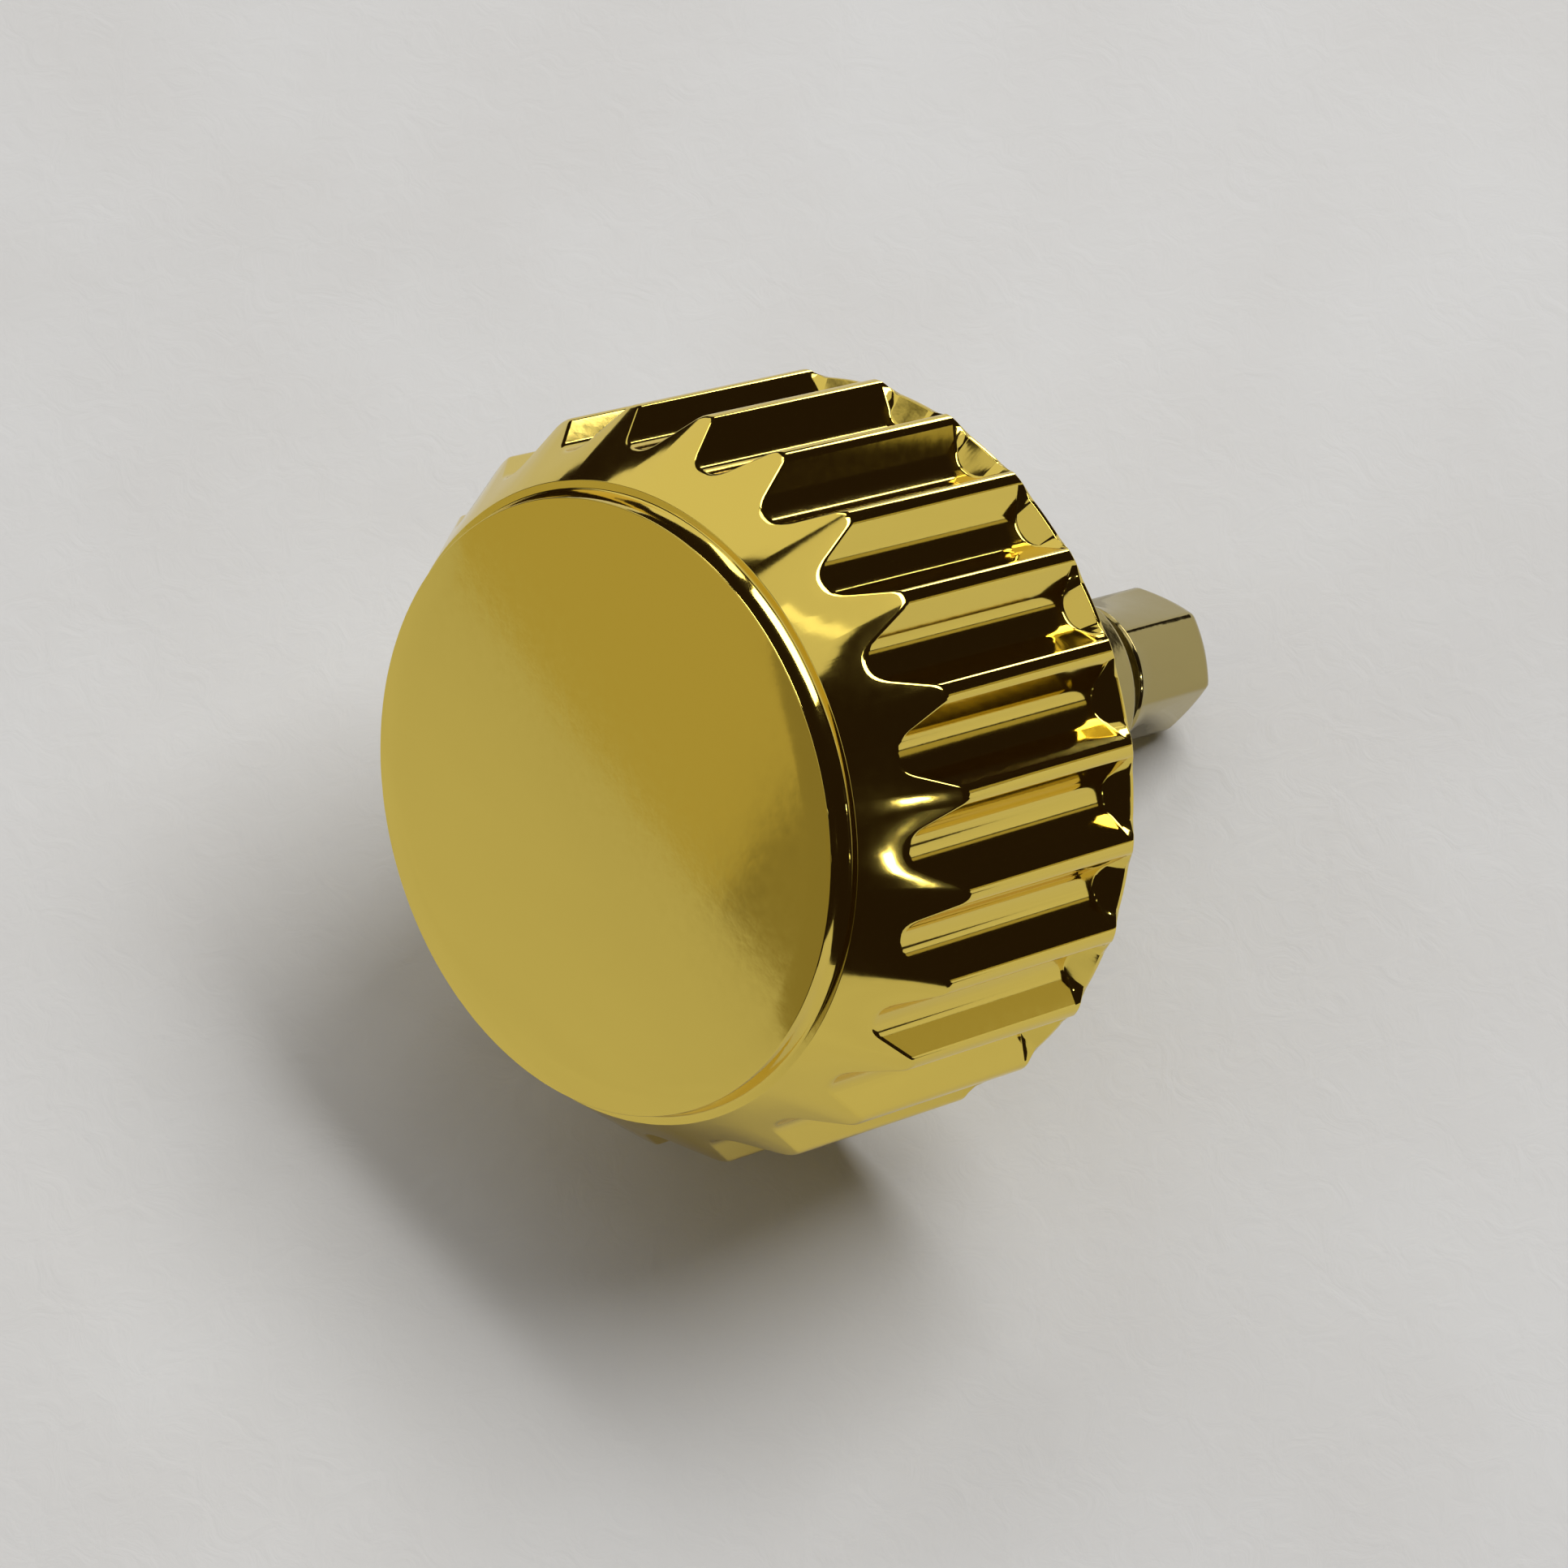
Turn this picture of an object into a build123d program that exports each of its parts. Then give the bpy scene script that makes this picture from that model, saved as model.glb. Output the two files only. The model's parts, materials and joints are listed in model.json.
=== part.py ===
from build123d import *
import math
import os

# A screw-down watch crown, leaning on its rear rim and its post as it does on a bench.
# Millimetres. The origin is the centre of the head's rear rim, and +Z is up.
# Each piece is made with the crown's axis along Y, its face looking along -Y and its post pointing along +Y.
# It is leaned just before it is written.
# A half outline is drawn in the XY plane, x as the radius and y along the axis, and turned round Y.

# Head, outside
head_diameter = 7.0
head_length = 3.38          # rear rim to the edge of the face
crest_length = 2.32         # rear rim to the corner between flutes and shoulder
rim_chamfer = 0.07
flute_count = 24
flute_depth = 0.31
flute_floor_width = 0.26
flute_floor_radius = 0.09
rim_ring_diameter = 6.84    # the grooves run out up a slope to a thin ring at the rear rim
rim_ring_width = 0.05
run_out_length = 0.33       # rear rim to where a groove has its full depth
crest_land_width = 0.1
face_diameter = 5.65
face_dome_height = 0.04
face_edge_radius = 0.06
shoulder_end_diameter = 5.9
shoulder_end_depth = 3.17   # rear rim to the foot of the raised face
face_root_radius = 0.1

# Head, inside
recess_diameter = 5.0
recess_depth = 0.3
recess_chamfer = 0.08
socket_depth = 2.2          # seat of the sleeve, the retainer and the gasket
plug_depth = 3.0            # rear rim to the bottom of the clutch tube's seat

# Thread sleeve, for a case tube with a 3.0 x 0.35 thread
sleeve_length = 1.4
thread_minor_diameter = 2.62
sleeve_wall = 0.59
thread_lead_in = 0.19
sleeve_edge_chamfer = 0.06

# Seals
gasket_thickness = 0.35
gasket_clearance = 0.05
retainer_width = 0.35       # from the socket's wall inwards
o_ring_section = 0.3
o_ring_clearance = 0.01
o_ring_groove_depth = 0.17
o_ring_groove_width = 0.4
o_ring_depth = 1.1          # rear rim to the middle of the groove, into the head

# Clutch tube
tube_diameter = 1.9
tube_reach = 3.0            # rear rim to the tube's mouth, out of the head
tube_edge_chamfer = 0.05
hexagon_bore_flats = 1.3
hexagon_bore_depth = 3.4    # mouth to the bore's bottom
washer_diameter = 1.64
washer_thickness = 0.25
washer_bore_diameter = 1.1
washer_recess = 0.4         # mouth to the washer, room for the post when it is pushed in

# Post and guide block
neck_clearance = 0.03       # radial, in the washer
post_travel = 0.7
travel_margin = 0.05        # left between the hexagon and the washer when pushed in
hexagon_flats = 1.25
hexagon_length = 1.2
hexagon_chamfer = 0.14
hexagon_back_chamfer = 0.03
flat_run_out = 0.32         # the flats run out in a cone towards the head, over this length
hexagon_turn = 15.5         # degrees, of a corner from the X axis
stem_bore_diameter = 0.69   # tapped 0.9 x 0.225 for the winding stem
stem_bore_depth = 1.2
stem_bore_lead_in = 0.09
rivet_shank_diameter = 0.6
rivet_head_diameter = 0.84
rivet_head_thickness = 0.1
guide_clearance = 0.02      # on each flat, in the hexagon bore
guide_length = 0.8
guide_edge_chamfer = 0.05

# Return spring
spring_wire = 0.14
spring_wire_sides = 8
spring_clearance = 0.02     # from the bore's flats
spring_seat_gap = 0.01
spring_turns = 4
arcs_per_turn = 4

overrun = 0.5               # how far a cutter passes a face

# Places that follow from the sizes, along Y
head_radius = head_diameter / 2
tube_radius = tube_diameter / 2
socket_radius = thread_minor_diameter / 2 + sleeve_wall
neck_radius = washer_bore_diameter / 2 - neck_clearance
socket_floor_y = -socket_depth
gasket_back_y = socket_floor_y + gasket_thickness
sleeve_back_y = -recess_depth
sleeve_front_y = sleeve_back_y - sleeve_length
plug_end_y = -plug_depth
mouth_y = tube_reach
washer_back_y = mouth_y - washer_recess
washer_front_y = washer_back_y - washer_thickness
bore_floor_y = mouth_y - hexagon_bore_depth
guide_front_y = washer_front_y - guide_length
hexagon_back_y = washer_back_y + post_travel + travel_margin
post_end_y = hexagon_back_y + hexagon_length

# The lean: two crests at the rear rim and the lowest corner of the hexagon's end touch the bench
corner_radius = hexagon_flats / math.sqrt(3)
corner_drop = corner_radius * max(
    -math.sin(math.radians(hexagon_turn + 60 * corner)) for corner in range(6)
)
land_angle = crest_land_width / head_radius
half_groove_angle = math.pi / flute_count - land_angle / 2
crest_drop = head_radius * math.cos(half_groove_angle)
touch_length = rim_chamfer + post_end_y - hexagon_chamfer
lean = math.degrees(math.atan2(crest_drop - corner_drop, touch_length))

os.makedirs("parts", exist_ok=True)


def export_part(part, label):
    """Leans a finished piece, names it and writes it to its own file."""
    leaned = Rotation(X=-lean) * part
    leaned.label = label
    export_step(leaned, f"parts/{label}.step")


def ring_outline(inner_radius, outer_radius, low_y, high_y):
    """Half section of a ring round the Y axis, added to the sketch that is open."""
    width = outer_radius - inner_radius
    with Locations((inner_radius + width / 2, (low_y + high_y) / 2)):
        Rectangle(width, high_y - low_y)


# Crown head: the turned blank
with BuildPart() as crown_head:
    with BuildSketch(Plane.XY) as blank:
        face_radius = face_diameter / 2
        shoulder_end = (shoulder_end_diameter / 2, -shoulder_end_depth)
        face_root = (face_radius, -shoulder_end_depth)
        face_edge = (face_radius, -head_length)
        face_centre = (0, -head_length - face_dome_height)
        with BuildLine():
            outside = Polyline(
                (0, 0),
                (head_radius - rim_chamfer, 0),
                (head_radius, -rim_chamfer),
                (head_radius, -crest_length),
                shoulder_end,
                face_root,
                face_edge,
            )
            TangentArc(face_centre, face_edge, tangent=(1, 0))
            Line(face_centre, outside @ 0)
        make_face()
        fillet(blank.vertices().sort_by_distance(face_edge)[0], face_edge_radius)
        fillet(blank.vertices().sort_by_distance(face_root)[0], face_root_radius)
    revolve(axis=Axis.Y)

    # Recess and socket in the back, and the blind seat of the clutch tube
    with BuildSketch(Plane.XY):
        recess_radius = recess_diameter / 2
        with BuildLine():
            Polyline(
                (0, overrun),
                (recess_radius + recess_chamfer, overrun),
                (recess_radius + recess_chamfer, 0),
                (recess_radius, -recess_chamfer),
                (recess_radius, -recess_depth),
                (socket_radius, -recess_depth),
                (socket_radius, socket_floor_y),
                (tube_radius, socket_floor_y),
                (tube_radius, plug_end_y),
                (0, plug_end_y),
                close=True,
            )
        make_face()
    revolve(axis=Axis.Y, mode=Mode.SUBTRACT)

    # Flutes: one straight groove, repeated round the head. A groove, not a crest, is at the bottom,
    # so that the rim stands on two crests.
    groove_top_half = head_radius * math.sin(half_groove_angle)
    groove_top_x = head_radius * math.cos(half_groove_angle)
    groove_floor_x = head_radius - flute_depth
    with BuildSketch(Plane.XZ.offset(-overrun)) as grooves:
        with PolarLocations(0, flute_count):
            Polygon(
                (head_radius + overrun, groove_top_half),
                (groove_top_x, groove_top_half),
                (groove_floor_x, flute_floor_width / 2),
                (groove_floor_x, -flute_floor_width / 2),
                (groove_top_x, -groove_top_half),
                (head_radius + overrun, -groove_top_half),
                align=None,
            )
        floor_corners = grooves.vertices().sort_by(SortBy.DISTANCE)[: 2 * flute_count]
        fillet(floor_corners, flute_floor_radius)
    extrude(amount=head_length + 2 * overrun, mode=Mode.SUBTRACT)

    # The ring at the rear rim, where each groove's floor slopes up and ends
    with BuildSketch(Plane.XY):
        rim_ring_radius = rim_ring_diameter / 2
        with BuildLine():
            Polyline(
                (groove_floor_x, -run_out_length),
                (rim_ring_radius, -rim_ring_width),
                (rim_ring_radius, 0),
                (recess_radius + recess_chamfer, 0),
                (recess_radius + recess_chamfer, -run_out_length),
                close=True,
            )
        make_face()
    revolve(axis=Axis.Y)
export_part(crown_head.part, "crown_head")

# Thread sleeve, pressed into the socket up to the retainer
with BuildPart() as thread_sleeve:
    with BuildSketch(Plane.XY):
        ring_outline(thread_minor_diameter / 2, socket_radius, sleeve_front_y, sleeve_back_y)
    revolve(axis=Axis.Y)
    back_edges = thread_sleeve.edges().filter_by(GeomType.CIRCLE).group_by(Axis.Y)[-1]
    chamfer(back_edges.sort_by(SortBy.RADIUS)[0], thread_lead_in)
    chamfer(back_edges.sort_by(SortBy.RADIUS)[-1], sleeve_edge_chamfer)
export_part(thread_sleeve.part, "thread_sleeve")

# Flat gasket on the socket's floor
with BuildPart() as flat_gasket:
    with BuildSketch(Plane.XY):
        ring_outline(
            tube_radius + gasket_clearance,
            socket_radius - gasket_clearance,
            socket_floor_y,
            gasket_back_y,
        )
    revolve(axis=Axis.Y)
export_part(flat_gasket.part, "flat_gasket")

# Gasket retainer, clamped between the gasket's edge and the sleeve
with BuildPart() as gasket_retainer:
    with BuildSketch(Plane.XY):
        ring_outline(
            socket_radius - retainer_width,
            socket_radius,
            gasket_back_y,
            sleeve_front_y,
        )
    revolve(axis=Axis.Y)
export_part(gasket_retainer.part, "gasket_retainer")

# Clutch tube, pressed into the head: seal groove outside, blind hexagon bore inside
with BuildPart() as clutch_tube:
    with BuildSketch(Plane.XY) as tube_section:
        ring_outline(0, tube_radius, plug_end_y, mouth_y)
        tube_corners = tube_section.vertices().group_by(Axis.X)[-1]
        chamfer(tube_corners, tube_edge_chamfer)
        groove_floor = tube_radius - o_ring_groove_depth
        with Locations((groove_floor + overrun / 2, -o_ring_depth)):
            Rectangle(overrun, o_ring_groove_width, mode=Mode.SUBTRACT)
    revolve(axis=Axis.Y)
    with BuildSketch(Plane.XZ.offset(-mouth_y)):
        RegularPolygon(hexagon_bore_flats / 2, 6, major_radius=False, rotation=hexagon_turn)
    extrude(amount=hexagon_bore_depth, mode=Mode.SUBTRACT)
    with BuildSketch(Plane.XZ.offset(-mouth_y)):
        Circle(washer_diameter / 2)
    extrude(amount=washer_recess + washer_thickness, mode=Mode.SUBTRACT)
export_part(clutch_tube.part, "clutch_tube")

# O-ring in the tube's groove
with BuildPart() as tube_o_ring:
    with BuildSketch(Plane.XY):
        with Locations((groove_floor + o_ring_clearance + o_ring_section / 2, -o_ring_depth)):
            Circle(o_ring_section / 2)
    revolve(axis=Axis.Y)
export_part(tube_o_ring.part, "tube_o_ring")

# Retaining washer in the tube's mouth
with BuildPart() as retaining_washer:
    with BuildSketch(Plane.XY):
        ring_outline(washer_bore_diameter / 2, washer_diameter / 2, washer_front_y, washer_back_y)
    revolve(axis=Axis.Y)
export_part(retaining_washer.part, "retaining_washer")

# Stem post: hexagon end, whose flats run out in a cone, round neck through the washer, and the rivet
# that holds the guide block
with BuildPart() as stem_post:
    with BuildSketch(Plane.XZ.offset(-hexagon_back_y)):
        RegularPolygon(hexagon_flats / 2, 6, major_radius=False, rotation=hexagon_turn)
    extrude(amount=-hexagon_length)
    flats_radius = hexagon_flats / 2
    with BuildSketch(Plane.XY):
        with BuildLine():
            Polyline(
                (0, hexagon_back_y),
                (corner_radius, hexagon_back_y),
                (flats_radius, hexagon_back_y + flat_run_out),
                (0, hexagon_back_y + flat_run_out),
                close=True,
            )
        make_face()
    revolve(axis=Axis.Y)
    with BuildSketch(Plane.XY):
        with BuildLine():
            Polyline(
                (0, hexagon_back_y),
                (corner_radius - hexagon_back_chamfer, hexagon_back_y),
                (corner_radius, hexagon_back_y + hexagon_back_chamfer),
                (corner_radius, post_end_y - hexagon_chamfer),
                (flats_radius - hexagon_chamfer, post_end_y),
                (0, post_end_y),
                close=True,
            )
        make_face()
    revolve(axis=Axis.Y, mode=Mode.INTERSECT)
    with BuildSketch(Plane.XY):
        ring_outline(0, neck_radius, washer_front_y, hexagon_back_y)
        ring_outline(0, rivet_shank_diameter / 2, guide_front_y, washer_front_y)
        ring_outline(0, rivet_head_diameter / 2, guide_front_y - rivet_head_thickness, guide_front_y)
    revolve(axis=Axis.Y)
    with BuildSketch(Plane.XY):
        bore_radius = stem_bore_diameter / 2
        with BuildLine():
            Polyline(
                (0, post_end_y + overrun),
                (bore_radius + stem_bore_lead_in + overrun, post_end_y + overrun),
                (bore_radius, post_end_y - stem_bore_lead_in),
                (bore_radius, post_end_y - stem_bore_depth),
                (0, post_end_y - stem_bore_depth),
                close=True,
            )
        make_face()
    revolve(axis=Axis.Y, mode=Mode.SUBTRACT)
export_part(stem_post.part, "stem_post")

# Guide block, riveted on the post, sliding in the hexagon bore
with BuildPart() as guide_block:
    with BuildSketch(Plane.XZ.offset(-guide_front_y)):
        RegularPolygon(
            hexagon_bore_flats / 2 - guide_clearance,
            6,
            major_radius=False,
            rotation=hexagon_turn,
        )
        Circle(rivet_shank_diameter / 2, mode=Mode.SUBTRACT)
    extrude(amount=-guide_length)
    outer_edges = guide_block.edges().filter_by(GeomType.LINE).filter_by(Axis.Y, reverse=True)
    chamfer(outer_edges, guide_edge_chamfer)
export_part(guide_block.part, "guide_block")

# Return spring: open coils between the bore's floor and the guide block.
# Each quarter turn is a pair of arcs that meet smoothly.
coil_radius = hexagon_bore_flats / 2 - spring_clearance - spring_wire / 2
coil_start_y = bore_floor_y + spring_seat_gap + spring_wire / 2
coil_end_y = guide_front_y - spring_seat_gap - spring_wire / 2
coil_rise = (coil_end_y - coil_start_y) / (2 * math.pi * spring_turns)


def coil_point(angle):
    """Point of the wire's middle line at an angle round the Y axis, in radians."""
    return Vector(
        coil_radius * math.cos(angle),
        coil_start_y + coil_rise * angle,
        coil_radius * math.sin(angle),
    )


def coil_direction(angle):
    """Direction of the wire at an angle round the Y axis."""
    across = Vector(-coil_radius * math.sin(angle), coil_rise, coil_radius * math.cos(angle))
    return across.normalized()


coil_angles = [
    2 * math.pi * step / arcs_per_turn for step in range(spring_turns * arcs_per_turn + 1)
]
with BuildPart() as return_spring:
    with BuildLine() as coil:
        for start_angle, end_angle in zip(coil_angles, coil_angles[1:]):
            start = coil_point(start_angle)
            end = coil_point(end_angle)
            leave = coil_direction(start_angle)
            arrive = coil_direction(end_angle)
            # The two arcs have equal control lengths, from the usual biarc equation
            chord = end - start
            along = chord.dot(leave + arrive)
            spread = 2 * (1 - leave.dot(arrive))
            control = (math.sqrt(along**2 + spread * chord.dot(chord)) - along) / spread
            middle = (start + end + (leave - arrive) * control) * 0.5
            first = TangentArc(start, middle, tangent=leave)
            TangentArc(middle, end, tangent=first % 1)
    with BuildSketch(Plane(coil_point(0), z_dir=coil_direction(0))) as wire_section:
        RegularPolygon(spring_wire / 2, spring_wire_sides)
    sweep(path=coil.wires()[0])
export_part(return_spring.part, "return_spring")

# Least gap between turns of the spring, on points a turn apart or more
points_per_turn = 48
coil_line = [
    coil_point(2 * math.pi * step / points_per_turn)
    for step in range(spring_turns * points_per_turn + 1)
]
least_gap = min(
    (coil_line[later] - coil_line[earlier]).length
    for earlier in range(len(coil_line))
    for later in range(earlier + points_per_turn // 2, len(coil_line))
) - spring_wire
print("spring's least gap to itself", round(least_gap, 3), "mm")
wire_length = spring_turns * 2 * math.pi * math.hypot(coil_radius, coil_rise)
section_volume = wire_length * wire_section.sketch.area
print("spring's volume over section times length", return_spring.part.volume / section_volume)
print("lean", lean, "degrees, and the post's reach behind the rim", post_end_y, "mm")
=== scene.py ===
# %% [markdown]
# # A screw-down watch crown
# This is the knob on the side of a watch. It is gold plated, 7 mm across its flutes, and it leans on its
# rear rim and on the end of its post, on a sheet of pale paper.
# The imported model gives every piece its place, so nothing here is moved to fit. Pieces that show get finer
# meshes, because polished metal mirrors each facet of a coarse one.

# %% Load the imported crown
import json
import math

import bmesh
import bpy
from mathutils import Matrix, Vector

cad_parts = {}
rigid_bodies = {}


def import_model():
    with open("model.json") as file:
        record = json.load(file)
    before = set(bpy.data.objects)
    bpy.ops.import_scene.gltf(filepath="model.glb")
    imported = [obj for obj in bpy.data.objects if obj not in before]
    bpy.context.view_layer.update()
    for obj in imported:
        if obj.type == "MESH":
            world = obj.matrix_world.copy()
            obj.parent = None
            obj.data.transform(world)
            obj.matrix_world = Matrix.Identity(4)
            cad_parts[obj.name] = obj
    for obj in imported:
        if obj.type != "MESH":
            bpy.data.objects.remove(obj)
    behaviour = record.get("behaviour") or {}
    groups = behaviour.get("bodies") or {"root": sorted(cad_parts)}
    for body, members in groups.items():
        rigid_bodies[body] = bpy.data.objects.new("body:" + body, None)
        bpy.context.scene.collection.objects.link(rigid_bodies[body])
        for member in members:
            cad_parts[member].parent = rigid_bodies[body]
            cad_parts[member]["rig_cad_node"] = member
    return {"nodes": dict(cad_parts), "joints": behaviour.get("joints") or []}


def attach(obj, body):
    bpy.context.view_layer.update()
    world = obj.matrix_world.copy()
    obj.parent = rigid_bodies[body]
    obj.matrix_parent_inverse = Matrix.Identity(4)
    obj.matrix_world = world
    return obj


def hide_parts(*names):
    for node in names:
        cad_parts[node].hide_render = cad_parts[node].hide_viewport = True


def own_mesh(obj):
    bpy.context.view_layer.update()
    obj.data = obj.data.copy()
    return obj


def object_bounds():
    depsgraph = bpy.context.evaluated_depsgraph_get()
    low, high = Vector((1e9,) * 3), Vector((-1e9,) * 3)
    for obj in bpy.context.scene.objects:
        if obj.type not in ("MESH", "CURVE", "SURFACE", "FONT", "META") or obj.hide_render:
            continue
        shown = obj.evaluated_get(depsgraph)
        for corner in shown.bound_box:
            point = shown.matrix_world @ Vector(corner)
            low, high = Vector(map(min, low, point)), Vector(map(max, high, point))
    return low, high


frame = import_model()

CAD_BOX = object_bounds()
MM = 0.001
print("nodes:", ", ".join(sorted(frame["nodes"])))

# %% [markdown]
# A crown is turned on a lathe, so its sizes are simplest along its own axis. The frame leans, and the
# slide of the post says which way. These three directions turn a point of the crown, in millimetres across,
# along the axis and square to both, into a point of the frame. Along the axis, 0 is the rear rim, the post is
# at positive places and the face at negative ones.

# %% The crown's own directions
POST_SLIDE = frame["joints"][0]
ALONG = -Vector(POST_SLIDE["axis"]).normalized()
ACROSS = Vector((1, 0, 0))
SQUARE = ACROSS.cross(ALONG)
TO_FRAME = Matrix((ACROSS, ALONG, SQUARE)).transposed()


def place(across, along, square):
    """A point of the frame, in metres, from millimetres in the crown's own directions."""
    return TO_FRAME @ Vector((across, along, square)) * MM


print("the axis falls", round(math.degrees(math.asin(-ALONG.z)), 2), "degrees from level")

# %% [markdown]
# Every visible piece here is a round or fluted form, so one kind of mesh makes them all. A row of sections
# goes round the axis, each a list of radius and place along the axis, and quads join each section to the
# next. A section is a polyline with small arcs at its corners, because a real edge is never perfectly sharp,
# and on polished metal the arc is what catches the light. A bevel modifier could round the edges too, but it
# can't tell a groove's soft end from the crisp edge beside it.

# %% Outlines with rounded corners
ARC_STEPS = 4
CRISP_EDGE, FINE_EDGE, PLAIN_EDGE, SOFT_EDGE = 0.01, 0.02, 0.03, 0.04


def rounded(corners, steps=ARC_STEPS):
    """An open outline with arcs. A corner is two lengths and the radius of its edge, or 0 for a sharp one."""
    outline = []
    for index, (first, second, edge) in enumerate(corners):
        corner = Vector((first, second))
        if not edge:
            outline.append(corner)
            continue
        back = (Vector(corners[index - 1][:2]) - corner).normalized()
        ahead = (Vector(corners[index + 1][:2]) - corner).normalized()
        half_angle = back.angle(ahead) / 2
        centre = corner + (back + ahead).normalized() * edge / math.sin(half_angle)
        start = corner + back * edge / math.tan(half_angle) - centre
        end = corner + ahead * edge / math.tan(half_angle) - centre
        sweep = start.angle_signed(end)
        for step in range(steps + 1):
            turn = Matrix.Rotation(-sweep * step / steps, 2)
            outline.append(centre + turn @ start)
    return outline


print("a rounded corner has", ARC_STEPS + 1, "points")

# %% A skin round the axis
LARGE_FACES_FIRST = 100        # the modifier's highest weight, at which large faces decide the normals


def angles_round(count, start=0):
    """So many angles, evenly spaced round the axis."""
    return [start + 2 * math.pi * index / count for index in range(count)]


def skin(name, angles, sections, body, replaced, closed=False):
    """A mesh through one section at each angle. A section that isn't closed gets a flat cap at each end."""
    mesh = bmesh.new()
    columns = []
    for angle, section in zip(angles, sections):
        columns.append([
            mesh.verts.new(place(radius * math.cos(angle), along, radius * math.sin(angle)))
            for radius, along in section
        ])
    rows = len(columns[0])
    for left, right in zip(columns, columns[1:] + columns[:1]):
        for row in range(rows if closed else rows - 1):
            after = (row + 1) % rows
            mesh.faces.new((left[row], left[after], right[after], right[row]))
    if not closed:
        mesh.faces.new([column[0] for column in columns])
        mesh.faces.new([column[-1] for column in columns])
    bmesh.ops.recalc_face_normals(mesh, faces=mesh.faces)
    for face in mesh.faces:
        face.smooth = True
    data = bpy.data.meshes.new(name)
    mesh.to_mesh(data)
    mesh.free()
    piece = bpy.data.objects.new(name, data)
    bpy.context.scene.collection.objects.link(piece)
    weighted = piece.modifiers.new("flat faces stay flat", "WEIGHTED_NORMAL")
    weighted.weight = LARGE_FACES_FIRST
    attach(piece, body)
    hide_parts(replaced)
    print(name, len(data.polygons), "faces")
    return piece


# %% A flat ring
RING_SECTIONS = 160


def flat_ring(name, bore, outside, front, back, edges, replaced):
    """A flat ring on the head. Its four edges go from the bore's front one round by the outside."""
    middle = (front + back) / 2
    places = ((bore, front), (outside, front), (outside, back), (bore, back))
    corners = [(*at, edge) for at, edge in zip(places, edges)]
    outline = rounded([(bore, middle, 0), *corners, (bore, middle, 0)])[:-1]
    angles = angles_round(RING_SECTIONS)
    return skin(name, angles, [outline] * RING_SECTIONS, "head", replaced, closed=True)


# %% [markdown]
# The head's outside is a turned blank with 24 straight grooves milled along it. A boolean cut would leave
# long thin faces that shade badly. Instead the sections follow one groove's cross-section round the head,
# and each section ends its groove exactly where the groove's depth meets the sloping shoulder. So the curved
# edge at the end of every groove comes out of the sizes.

# %% The head's main sizes, in millimetres
HEAD_RADIUS, HEAD_LENGTH = 3.5, 3.38
FLUTES = 24
CREST_LENGTH = 2.32
SHOULDER_END_RADIUS, SHOULDER_END = 2.95, -3.17
shoulder_slope = (HEAD_RADIUS - SHOULDER_END_RADIUS) / (-SHOULDER_END - CREST_LENGTH)
print("the shoulder slopes", round(math.degrees(math.atan(shoulder_slope)), 1), "degrees from the axis")

# %% One groove's cross-section, as angles and radii
GROOVE_DEPTH = 0.31
GROOVE_FLOOR_HALF, GROOVE_FLOOR_EDGE = 0.13, 0.24
CREST_LAND, CREST_EDGE = 0.13, 0.095
GROOVE_ARC_STEPS = 5
LOWEST = -math.pi / 2        # the head rests on two crests, with the middle of a groove between them
floor_radius = HEAD_RADIUS - GROOVE_DEPTH
half_pitch = math.pi / FLUTES
half_groove = half_pitch - CREST_LAND / HEAD_RADIUS / 2
half_outline = rounded(
    [
        (floor_radius, 0, 0),
        (floor_radius, GROOVE_FLOOR_HALF, GROOVE_FLOOR_EDGE),
        (HEAD_RADIUS * math.cos(half_groove), HEAD_RADIUS * math.sin(half_groove), CREST_EDGE),
        (HEAD_RADIUS * math.cos(half_pitch), HEAD_RADIUS * math.sin(half_pitch), 0),
    ],
    steps=GROOVE_ARC_STEPS,
)
half_polar = [(math.atan2(side, out), math.hypot(out, side)) for out, side in half_outline]
one_flute = [(-angle, radius) for angle, radius in half_polar[:0:-1]] + half_polar[:-1]
flute_columns = [
    (2 * math.pi * flute / FLUTES + LOWEST + angle, radius)
    for flute in range(FLUTES)
    for angle, radius in one_flute
]
print("head:", len(flute_columns), "sections round the axis")

# %% [markdown]
# At the rear the cutter stopped short of the rim. It left a thin turned ring and a steep slope at the end of
# each groove, and the crests between them have a small chamfer. Both kinds of section need the same number of
# points, so a crest gets plain points on its straight side where a groove has the arc at its slope's foot.

# %% The rear rim
RIM_CHAMFER = 0.07
LEAST_CHAMFER = RIM_CHAMFER / 7
REAR_RING_RADIUS, REAR_RING_WIDTH = 3.42, 0.05
RUN_OUT_TILT, RUN_OUT_EDGE = math.radians(62), 0.04
HAIR = 0.002        # keeps corners apart where a groove is barely cut


def rim_corners(flute_radius):
    """The rim's corners, where the flutes have this radius: a chamfer on a crest, a ring on a groove."""
    if flute_radius > REAR_RING_RADIUS:
        rim_radius = min(HEAD_RADIUS - RIM_CHAMFER, flute_radius - LEAST_CHAMFER)
        chamfer = flute_radius - rim_radius
        plain_points = [
            (flute_radius, -2 * REAR_RING_WIDTH - 2 * HAIR * step, 0) for step in range(1, ARC_STEPS + 2)
        ]
        return [(rim_radius, 0, CRISP_EDGE), (flute_radius, -chamfer, FINE_EDGE), *plain_points]
    drop = REAR_RING_RADIUS - flute_radius
    foot = -REAR_RING_WIDTH - drop / math.tan(RUN_OUT_TILT) - HAIR
    return [
        (REAR_RING_RADIUS, 0, CRISP_EDGE),
        (REAR_RING_RADIUS, -REAR_RING_WIDTH, CRISP_EDGE),
        (flute_radius, foot, min(RUN_OUT_EDGE, drop + HAIR / 2)),
    ]


deepest_foot = rim_corners(floor_radius)[-1][1]
print("the grooves end", round(-deepest_foot, 2), "mm in front of the rim")

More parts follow.
